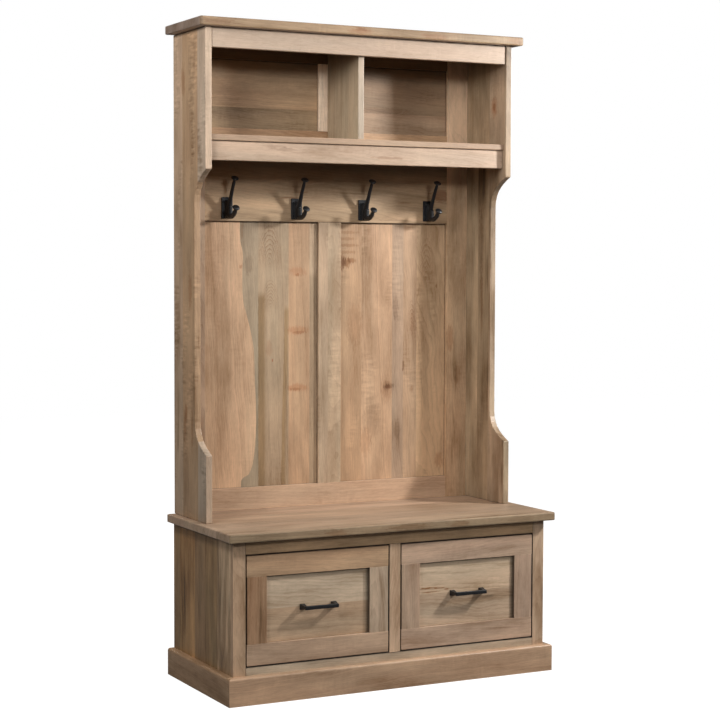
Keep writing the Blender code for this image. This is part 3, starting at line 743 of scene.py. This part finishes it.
def show_hutch():
    """The hutch's sides, crown, shelf and divider."""
    wood(
        "hutch_side_left", "z", 11, curl=1.0, rings=0.6, streaks=0.9, blotches=1.0, mineral=0.7,
        spots=[
            ((-0.506, 0.142, 0.79), (0.030, 0.012), 0.8, BROWN),
            ((-0.506, 0.150, 0.752), (0.060, 0.010), 0.6, BROWN),
            ((-0.506, 0.096, 0.742), (0.070, 0.006), 0.7, BROWN),
            ((-0.506, 0.160, 1.755), (0.050, 0.020), 0.6, BROWN),
            ((-0.506, 0.109, 1.147), (0.060, 0.016), 0.6, BROWN),
        ],
        # Painted shade along the top, under the crown's overhang
        dims=[("z+", 0.010, 0.5, -0.009)],
    )
    wood(
        "hutch_side_right", "z", 12, curl=0.3, streaks=1.3, mineral=1.3, blotches=1.6,
        spots=[
            ((0.487, 0.0586, 1.711), (0.036, 0.018), 0.9, RED),
            ((0.487, 0.0586, 1.711), (0.018, 0.008), 0.9, BROWN),
            ((0.487, 0.050, 1.780), (0.050, 0.022), 0.45, SMOKE),
            ((0.487, 0.080, 1.645), (0.040, 0.030), 0.40, SMOKE),
            ((0.487, 0.1314, 1.2845), (0.110, 0.018), 0.8, SMOKE),
            ((0.487, 0.150, 1.440), (0.070, 0.030), 0.6, SMOKE),
            ((0.487, 0.120, 0.760), (0.080, 0.020), 0.6, SMOKE),
            ((0.487, 0.126, 1.100), (0.120, 0.008), 0.7, BROWN),
        ],
        # Painted shade, deepest at the top, falling from the crown
        dims=[("z+", (0.0, 0.150), 0.35, -0.009)],
    )
    wood(
        "crown_top", "x", 21, curl=0.5, blotches=1.0, mineral=0.8, dims=[("x-", 0.012, 0.6, None)],
        spots=marks(
            -0.037,
            (-0.025, 1.903, 0.045, 0.012, 0.7, RED),
            (-0.025, 1.908, 0.020, 0.006, 0.6, BROWN),
            (0.222, 1.902, 0.050, 0.010, 0.6, RED),
            (-0.480, 1.905, 0.060, 0.012, 0.6, BROWN),
            (0.505, 1.904, 0.030, 0.014, 0.6, RED),
        ),
    )
    wood(
        "crown_rail", "x", 22, streaks=0.15, rings=0.3, grey=0.5, mineral=0.1, blotches=0.25,
        # Painted shade under the crown's top and at the ends against the sides
        dims=[("z+", 0.005, 0.45, None), ("x+", 0.003, 0.5, None), ("x-", 0.003, 0.6, None)],
    )
    wood("cubby_shelf", "x", 23, streaks=0.5)
    wood(
        "shelf_apron", "x", 24, streaks=0.5, rings=0.6, mineral=0.5, grey=0.6, blotches=0.6,
        # Painted shade under the shelf's nosing and at the right end beside the hutch side
        dims=[("z+", 0.004, 0.55, None), ("x+", 0.003, 0.6, None)],
        spots=marks(
            0.007,
            (-0.250, 1.555, 0.050, 0.006, 0.6, SMOKE),
            (-0.286, 1.562, 0.040, 0.005, 0.6, SMOKE),
            (0.087, 1.539, 0.060, 0.005, 0.5, BROWN),
        ),
    )
    wood(
        "cubby_divider", "z", 25, streaks=1.1, mineral=0.8, blotches=0.9,
        # Painted shade falling from the crown down the divider
        dims=[("z+", (0.0, 0.180), 0.35, 0.015)],
    )


# Where the sapwood of the left back panel's first board begins, as (x, z)
SAPWOOD_LINE = (
    (-0.2935, 0.520), (-0.2935, 0.565), (-0.2687, 0.586), (-0.2509, 0.640), (-0.2445, 0.720),
    (-0.2440, 0.790), (-0.2478, 0.868), (-0.2508, 0.955), (-0.2596, 1.010), (-0.2731, 1.064),
    (-0.2875, 1.129), (-0.2889, 1.193), (-0.2870, 1.247), (-0.2960, 1.301), (-0.2960, 1.360),
)


def show_back():
    """The hutch's back: frame and panels."""
    wood("back_stile_left", "z", 31)
    wood(
        "back_stile_right", "z", 32, streaks=0.8, grey=0.9, blotches=1.3, mineral=0.8,
        spots=marks(
            0.221,
            (0.428, 0.990, 0.050, 0.014, 0.6, BROWN),
            (0.455, 0.870, 0.040, 0.014, 0.5, BROWN),
        ),
        # Painted shade beside the right hutch side and under the crown
        dims=[("x+", 0.090, 0.85, None), ("z+", (0.02, 0.16), 0.50, None)],
    )
    wood("back_rail_bottom", "x", 33, streaks=0.5, blotches=0.5)
    wood(
        "hook_rail", "x", 34, streaks=0.8, rings=0.8, mineral=0.7, blotches=0.9,
        spots=marks(
            0.221,
            (-0.140, 1.4235, 0.040, 0.0035, 0.9, BROWN),
            (-0.100, 1.442, 0.030, 0.005, 0.7, BROWN),
            (0.392, 1.440, 0.045, 0.022, 0.8, (0.62, 0.44, 0.36)),
            (0.262, 1.4149, 0.030, 0.003, 0.7, BROWN),
        ),
        # Painted shade along the lower edge, and down from the top where the apron shades the rail
        dims=[
            ("z-", 0.003, 0.5, None),
            ("z+", (0.035, 0.235, 0.045), 0.65, None),
            ("z+", (0.095, 0.145, 0.045), 0.35, None),
        ],
    )
    wood("back_rail_top", "x", 35)
    wood("back_mullion_lower", "z", 36, streaks=0.5, grey=0.7, curl=0.5)
    wood("back_mullion_upper", "z", 37, streaks=0.35, blotches=0.3)
    wood(
        "back_panel_left", "z", 41, streaks=0.40, rings=1.0, mineral=0.30, grey=0.55,
        opening=sight("back_stile_left", "back_mullion_lower", "back_rail_bottom", "hook_rail"),
        bow=(-0.296, SAPWOOD_LINE),
        spots=marks(
            0.230,
            (-0.2684, 1.220, 0.035, 0.016, 0.75, SMOKE),
            (-0.293, 1.2139, 0.008, 0.005, 0.7, BROWN),
            (-0.1043, 1.2000, 0.016, 0.032, 0.55, RED),
            (-0.1043, 1.1900, 0.006, 0.010, 0.75, BROWN),
            (-0.1041, 1.0209, 0.015, 0.040, 0.65, RED),
            (-0.0980, 1.0150, 0.005, 0.024, 0.55, BROWN),
            (-0.1069, 0.8451, 0.013, 0.040, 0.70, RED),
            (-0.1120, 0.8410, 0.005, 0.020, 0.55, BROWN),
            (-0.290, 1.324, 0.040, 0.005, 0.50, RED),
            (-0.1895, 0.9305, 0.005, 0.0025, 0.9, (0.85, 0.45, 0.35)),
            (-0.200, 0.965, 0.030, 0.012, 0.35, RED),
        ),
        bands=[
            (
                [(-0.2370, 0.52), (-0.2370, 0.75), (-0.2375, 0.95), (-0.2370, 1.140)],
                0.0330, 1.0, (0.66, 0.60, 0.49),
            ),
            (
                [(-0.1610, 0.52), (-0.1590, 0.70), (-0.1535, 0.90), (-0.1490, 1.10)],
                0.0200, 0.85, (0.78, 0.70, 0.55),
            ),
            (
                [(-0.0655, 0.52), (-0.0655, 0.80), (-0.0640, 1.05), (-0.0640, 1.20)],
                0.0400, 0.90, (0.74, 0.73, 0.70),
            ),
        ],
        arcs=[
            ((-0.199, 0.230, 1.215), (0.125, 0.040), 1.0),
            ((-0.196, 0.230, 1.085), (0.090, 0.030), 0.8),
        ],
    )
    wood(
        "back_panel_right", "z", 42, streaks=0.4, rings=1.0, mineral=0.30, curl=0.5, grey=0.55,
        opening=sight("back_mullion_lower", "back_stile_right", "back_rail_bottom", "hook_rail"),
        spots=marks(
            0.230,
            (0.047, 1.2290, 0.026, 0.013, 0.95, (0.56, 0.44, 0.35)),
            (0.062, 1.2290, 0.018, 0.018, 0.95, (0.60, 0.47, 0.36)),
            (0.080, 1.2350, 0.009, 0.018, 0.8, (0.64, 0.50, 0.39)),
            (0.060, 1.2600, 0.006, 0.040, 0.50, BROWN),
            (0.066, 1.2810, 0.006, 0.045, 0.55, BROWN),
            (0.060, 1.3010, 0.006, 0.040, 0.50, BROWN),
            (0.066, 1.3210, 0.006, 0.045, 0.45, BROWN),
            (0.090, 1.035, 0.080, 0.030, 0.40, BROWN),
            (0.381, 1.1545, 0.010, 0.003, 0.8, DARK),
            (0.2623, 0.905, 0.022, 0.0032, 0.95, DARK),
            (0.2040, 0.8380, 0.024, 0.012, 0.8, SMOKE),
            (0.2120, 0.8410, 0.010, 0.024, 0.9, SMOKE),
            (0.2080, 0.8400, 0.009, 0.010, 0.8, BROWN),
            (0.2040, 0.8330, 0.040, 0.024, 0.40, BROWN),
            (0.1500, 0.7350, 0.070, 0.030, 0.45, SMOKE),
            (0.1300, 0.6700, 0.050, 0.022, 0.40, BROWN),
            (0.2345, 1.0864, 0.045, 0.012, 0.70, SMOKE),
            (0.2427, 0.7018, 0.035, 0.012, 0.60, SMOKE),
            (0.2936, 0.8307, 0.012, 0.007, 0.50, BROWN),
            (0.295, 1.045, 0.045, 0.009, 0.45, BROWN),
            (0.3928, 0.600, 0.030, 0.018, 0.55, BROWN),
        ),
        arcs=[
            ((0.345, 0.230, 1.150), (0.155, 0.032), 0.8),
            ((0.293, 0.230, 0.990), (0.120, 0.020), 0.8),
        ],
    )
    for word, left, right in (
        ("left", "back_stile_left", "back_mullion_upper"),
        ("right", "back_mullion_upper", "back_stile_right"),
    ):
        wood(
            f"cubby_panel_{word}", "x", 43 + len(word), mineral=0.9, streaks=0.8, blotches=1.0,
            spots=CUBBY_MARKS[word],
            opening=sight(left, right, "hook_rail", "back_rail_top"),
            # Painted shade down from the crown, where the cubbies' tops lie in shadow
            dims=[("z+", (0.0, 0.095), 0.35, None)],
        )


# The marks on the cubby panels and the drawers' panels
CUBBY_MARKS = {
    "left": marks(
        0.230,
        (-0.385, 1.745, 0.060, 0.040, 0.50, SMOKE),
        (-0.330, 1.672, 0.090, 0.022, 0.55, SMOKE),
        (-0.170, 1.675, 0.070, 0.020, 0.45, SMOKE),
    ),
    "right": marks(
        0.230,
        (0.290, 1.760, 0.090, 0.035, 0.40, SMOKE),
        (0.200, 1.700, 0.100, 0.012, 0.45, BROWN),
    ),
}
DRAWER_MARKS = {
    "left": [],
    "right": marks(
        -0.200,
        (0.112, 0.2776, 0.034, 0.0030, 1.0, (0.55, 0.36, 0.22)),
        (0.152, 0.2756, 0.024, 0.0024, 0.9, (0.55, 0.36, 0.22)),
        (0.120, 0.2655, 0.040, 0.0022, 0.9, (0.50, 0.34, 0.22)),
        (0.176, 0.2705, 0.010, 0.0030, 0.9, (0.62, 0.42, 0.30)),
    ),
}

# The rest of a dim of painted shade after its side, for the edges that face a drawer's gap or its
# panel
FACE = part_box("face_rail_top")[0][1] + 0.0006  # just behind the face frame's front
FRAME_GAP_SHADE = (0.0030, 0.02, FACE)
FRONT_GAP_SHADE = (0.0030, 0.65, FACE)
OPENING_SHADE = (0.0030, 0.30, FACE)
ARRIS_SHADE = (0.0026, 0.30, None)
# Where the seat's overhang shades the face frame
UNDER_SEAT = [("z+", (0.0, 0.011), 0.12, None), ("z+", 0.030, 0.80, None)]


def gap(edge, *sides):
    """Dims of painted shade for a board's edges and arrises along the gap round a drawer."""
    return [(side, *dim) for side in sides for dim in (edge, ARRIS_SHADE)]


def show_bench():
    """The seat, the case, the face frame and the plinth."""
    wood(
        "seat_top", "x", 51, streaks=1.0, rings=1.1, blotches=0.8, mineral=0.6,
        spots=[
            ((-0.400, -0.237, 0.470), (0.060, 0.014), 0.55, SMOKE),
            ((-0.205, -0.237, 0.466), (0.045, 0.012), 0.60, BROWN),
            ((0.030, -0.237, 0.468), (0.080, 0.010), 0.60, BROWN),
            ((0.196, -0.237, 0.466), (0.040, 0.012), 0.60, BROWN),
            ((0.405, -0.237, 0.468), (0.060, 0.012), 0.55, SMOKE),
            ((-0.500, -0.060, 0.481), (0.030, 0.060), 0.45, SMOKE),
            ((-0.470, -0.205, 0.481), (0.090, 0.016), 0.50, SMOKE),
            ((-0.300, -0.120, 0.481), (0.120, 0.012), 0.35, BROWN),
        ],
    )
    wood(
        "base_side_left", "z", 52, streaks=2.4, mineral=1.5, blotches=1.2, grey=1.0,
        # Painted shade under the seat's overhang
        dims=[("z+", 0.012, 0.35, None)],
    )
    wood("base_side_right", "z", 53, streaks=1.7, mineral=0.9, blotches=1.2, grey=1.0)
    # Painted shade in the gaps round the drawers and under the seat's overhang
    for node, grain, seed, blotches, dims in (
        ("face_stile_left", "z", 54, 1.2, gap(FRAME_GAP_SHADE, "x+") + UNDER_SEAT),
        ("face_stile_middle", "z", 55, 1.0, gap(FRAME_GAP_SHADE, "x+", "x-")),
        ("face_stile_right", "z", 56, 1.2, gap(FRAME_GAP_SHADE, "x-") + UNDER_SEAT),
        ("face_rail_top", "x", 57, 1.2, gap(FRAME_GAP_SHADE, "z-") + UNDER_SEAT),
    ):
        wood(node, grain, seed, streaks=1.0, blotches=blotches, dims=dims)
    # Painted shade along the gap under the drawers
    wood("face_rail_bottom", "x", 58, streaks=1.2, blotches=1.2, dims=gap(FRAME_GAP_SHADE, "z+"))
    wood("plinth_front", "x", 59, mineral=0.5, blotches=1.0, streaks=0.35)
    for seed, word in enumerate(WORDS, 60):
        wood(f"plinth_{word}", "y", seed, mineral=1.0, blotches=1.3, streaks=1.0)


def show_drawers():
    """The two drawer fronts."""
    for index, word in enumerate(WORDS):
        seed = 70 + 10 * index
        drawer = f"drawer_{word}_"
        # Painted shade along the gaps round each front, and on the edges that face its panel
        for offset, (part, grain, dims) in enumerate(
            (
                ("rail_top", "x", gap(FRONT_GAP_SHADE, "z+") + [("z-", *OPENING_SHADE)]),
                ("stile_left", "z", gap(FRONT_GAP_SHADE, "x-")),
                ("stile_right", "z", gap(FRONT_GAP_SHADE, "x+") + [("x-", *OPENING_SHADE)]),
                ("rail_bottom", "x", gap(FRONT_GAP_SHADE, "z-")),
            )
        ):
            node = drawer + part
            wood(node, grain, seed + offset, dims=dims, mineral=0.9, streaks=1.0, blotches=1.1)
        ends = [drawer + end for end in ("stile_left", "stile_right", "rail_bottom", "rail_top")]
        wood(
            drawer + "panel", "x", seed + 4, spots=DRAWER_MARKS[word], opening=sight(*ends),
            # Painted shade on the panel beside its frame, widest along the right side and the top
            shadows=((0.003, 0.60), (0.014, 0.22), (0.002, 0.60), (0.007, 0.25)),
            rings=1.0, mineral=0.7, streaks=0.7, blotches=0.8,
        )


# The tones of the wood inside
PALE = (0.62, 0.47, 0.31)
PLYWOOD = (0.66, 0.53, 0.37)
RUNNER = (0.55, 0.40, 0.25)
CASE = (0.55, 0.42, 0.28)


def plain_wood():
    """The unstained wood inside: drawer boxes, runners, case floor and back."""
    for index, word in enumerate(WORDS):
        for offset, (part, grain, tone) in enumerate(
            (
                ("box_left", "y", PALE),
                ("box_right", "y", PALE),
                ("box_back", "x", PALE),
                ("box_bottom", "y", PLYWOOD),
                ("runner_inner", "y", RUNNER),
                ("runner_outer", "y", RUNNER),
            )
        ):
            node = f"drawer_{word}_{part}"
            TONES[node] = tone
            seed = 90 + 10 * index + offset
            wood(node, grain, seed, grey=0.15, mineral=0.15, streaks=0.35, blotches=0.25)
    for seed, node, grain in (
        (120, "base_floor", "x"),
        (121, "base_back", "x"),
        (122, "base_partition", "y"),
    ):
        TONES[node] = CASE
        wood(node, grain, seed, rings=0.9, grey=0.2)


def swell(node, wall, level):
    """Thickens a hook's arms all round, but neither its plate nor the two buttons.

    wall and level are the y of the plate's back and the z of its middle.
    """
    arms = NODES[node].vertex_groups.new(name="arms")
    for vert in NODES[node].data.vertices:
        out, rise = wall - vert.co.y, vert.co.z - level
        clear = (out - HOOK_PLATE - 0.0008) / 0.003
        nearest = min(math.dist((out, rise), button) for button in HOOK_BUTTONS)
        off_button = (nearest - HOOK_BUTTON) / 0.002
        arms.add([vert.index], max(0.0, min(1.0, clear, off_button)), "REPLACE")
    thick = NODES[node].modifiers.new("arms", "DISPLACE")
    thick.vertex_group = "arms"
    thick.direction = "NORMAL"
    thick.mid_level = 0.0
    thick.strength = HOOK_SWELL


def soften(node, voxel):
    """Rounds a casting's edges and fillets its joins, as the mould leaves them."""
    fine = NODES[node].modifiers.new("skin", "REMESH")
    fine.mode = "VOXEL"
    fine.voxel_size = voxel
    fine.use_smooth_shade = True
    smooth = NODES[node].modifiers.new("fillets", "SMOOTH")
    smooth.factor = 0.5
    smooth.iterations = 1


def screw(name, place, outward, radius, body, material):
    """A domed screw head with a cross recess, standing on place and facing outward in y."""
    rings, spokes = 12, 48
    dome, cross_width, cross_reach, cross_depth = 0.42, 0.13, 0.62, 0.75
    height = radius * dome
    mesh = bmesh.new()
    rows = []
    for ring in range(1, rings + 1):
        reach = radius * ring / rings
        row = []
        for spoke in range(spokes):
            turn = 2 * math.pi * spoke / spokes + 0.35
            x, z = reach * math.cos(turn), reach * math.sin(turn)
            rise = height * math.sqrt(max(0.0, 1 - (reach / radius) ** 2)) + 0.0002
            narrow = min(abs(x), abs(z))
            if narrow < radius * cross_width and reach < radius * cross_reach:
                rise -= height * cross_depth
            row.append(mesh.verts.new((x, rise * outward, z)))
        rows.append(row)
    hub = mesh.verts.new((0, height * (1 - cross_depth) * outward, 0))
    foot = [mesh.verts.new((vert.co.x, 0, vert.co.z)) for vert in rows[-1]]
    rows.append(foot)
    for spoke in range(spokes):
        after = (spoke + 1) % spokes
        mesh.faces.new((hub, rows[0][spoke], rows[0][after]))
        for inner, outer in zip(rows, rows[1:]):
            mesh.faces.new((inner[spoke], outer[spoke], outer[after], inner[after]))
    mesh.faces.new(foot)
    bmesh.ops.recalc_face_normals(mesh, faces=mesh.faces)
    turn = Matrix.Rotation(random.Random(name).uniform(0, math.pi / 2), 4, "Y")
    bmesh.ops.transform(mesh, matrix=Matrix.Translation(place) @ turn, verts=mesh.verts)
    data = bpy.data.meshes.new(name)
    mesh.to_mesh(data)
    mesh.free()
    data.materials.append(material)
    made = bpy.data.objects.new(name, data)
    bpy.context.scene.collection.objects.link(made)
    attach(made, body)


def metalwork():
    """The hooks and pulls get cast fillets, a black coat and the screws that hold them."""
    coat = black_iron("black_iron")
    for number in range(1, 5):
        node = f"coat_hook_{number}"
        give(node, coat)
        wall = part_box(node)[1][1]
        back = [vert.co for vert in NODES[node].data.vertices if vert.co.y > wall - 0.0005]
        x = (min(co.x for co in back) + max(co.x for co in back)) / 2
        z = (min(co.z for co in back) + max(co.z for co in back)) / 2
        swell(node, wall, z)
        soften(node, 0.0007)
        for height, rise in (("upper", HOOK_SCREWS[1]), ("lower", -HOOK_SCREWS[1])):
            for word, aside in zip(WORDS, (-HOOK_SCREWS[0], HOOK_SCREWS[0])):
                name = f"hook_{number}_screw_{word}_{height}"
                place = (x + aside, wall - HOOK_PLATE, z + rise)
                screw(name, place, -1, HOOK_SCREW, "carcass", coat)
    zinc = bright_zinc()
    for word in WORDS:
        pull = f"drawer_{word}_pull"
        give(pull, coat)
        soften(pull, 0.0005)
        low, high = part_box(pull)
        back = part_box(f"drawer_{word}_panel")[1][1]
        x, z = (low[0] + high[0]) / 2, (low[2] + high[2]) / 2
        for side, aside in zip(WORDS, (-PULL_CENTRES / 2, PULL_CENTRES / 2)):
            name = f"{pull}_screw_{side}"
            screw(name, (x + aside, back, z), 1, PULL_SCREW, f"drawer_{word}", zinc)


def bright_zinc():
    """Plated steel, for the screws inside the drawers."""
    material = bpy.data.materials.new("bright_zinc")
    material.use_nodes = True
    net = Net(material.node_tree)
    shader = material.node_tree.nodes["Principled BSDF"]
    place = material.node_tree.nodes.new("ShaderNodeTexCoord").outputs["Object"]
    cloud = net.noise(place, (700, 700, 700), 3.0, 0.6)["Fac"]
    net.put(shader.inputs["Base Color"], net.mix(cloud, (0.42, 0.42, 0.41), (0.60, 0.60, 0.62)))
    net.put(shader.inputs["Roughness"], net.math("ADD", 0.22, net.math("MULTIPLY", cloud, 0.22)))
    shader.inputs["Metallic"].default_value = 1.0
    return material


camera()
light()
floor()
show_hutch()
show_back()
show_bench()
show_drawers()
plain_wood()
metalwork()
bpy.context.scene.view_settings.view_transform = "Standard"
